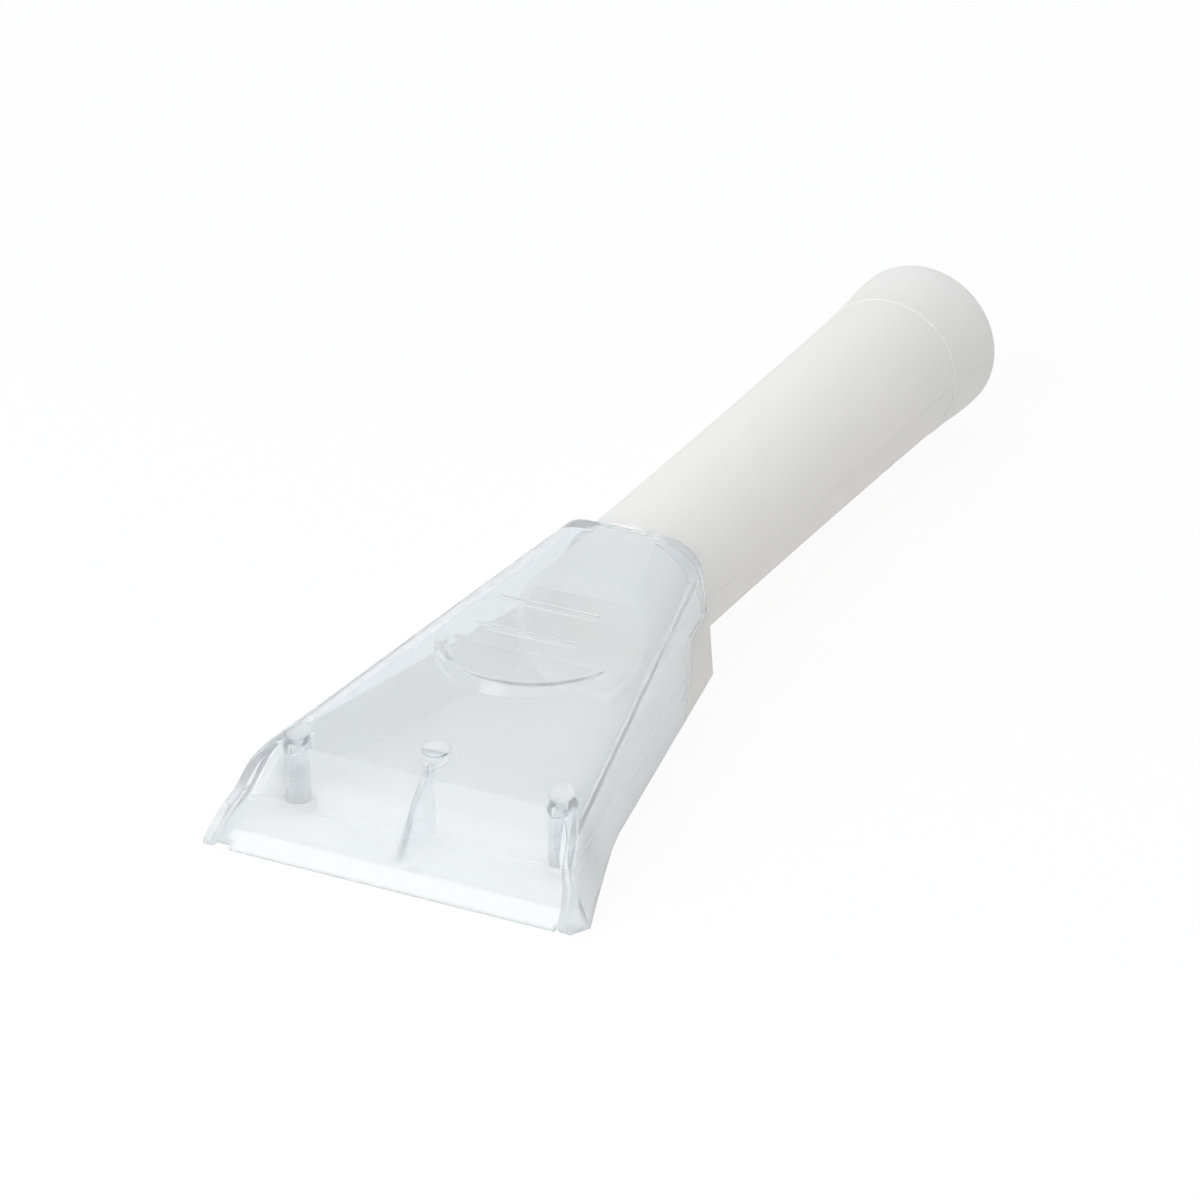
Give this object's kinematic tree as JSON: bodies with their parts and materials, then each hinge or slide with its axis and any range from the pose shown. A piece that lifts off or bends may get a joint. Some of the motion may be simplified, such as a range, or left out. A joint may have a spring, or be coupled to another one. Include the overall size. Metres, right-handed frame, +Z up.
{
  "type": "extractor nozzle",
  "caption": "Hand nozzle for a spray extraction cleaner: a moulded tube with a round hose socket, a flared flat head and a clear screwed-on cover over a wide suction slot.",
  "frame": {"origin": "centre of the hose socket's mouth, on the tube's axis", "axes": "+Y out of the hose socket along the tube's axis, so the front lip is at -Y; +Z up, away from the suction slot; +X across the head"},
  "size_m": [0.0966, 0.3034, 0.0436],
  "materials": {
    "milky_plastic": "satin moulded, slightly translucent",
    "clear_plastic": "clear gloss moulded",
    "screw_steel": "zinc plated"
  },
  "bodies": {
    "root": {"nozzle_body": "milky_plastic", "clear_cover": "clear_plastic", "cover_screws": "screw_steel"}
  },
  "joints": []
}
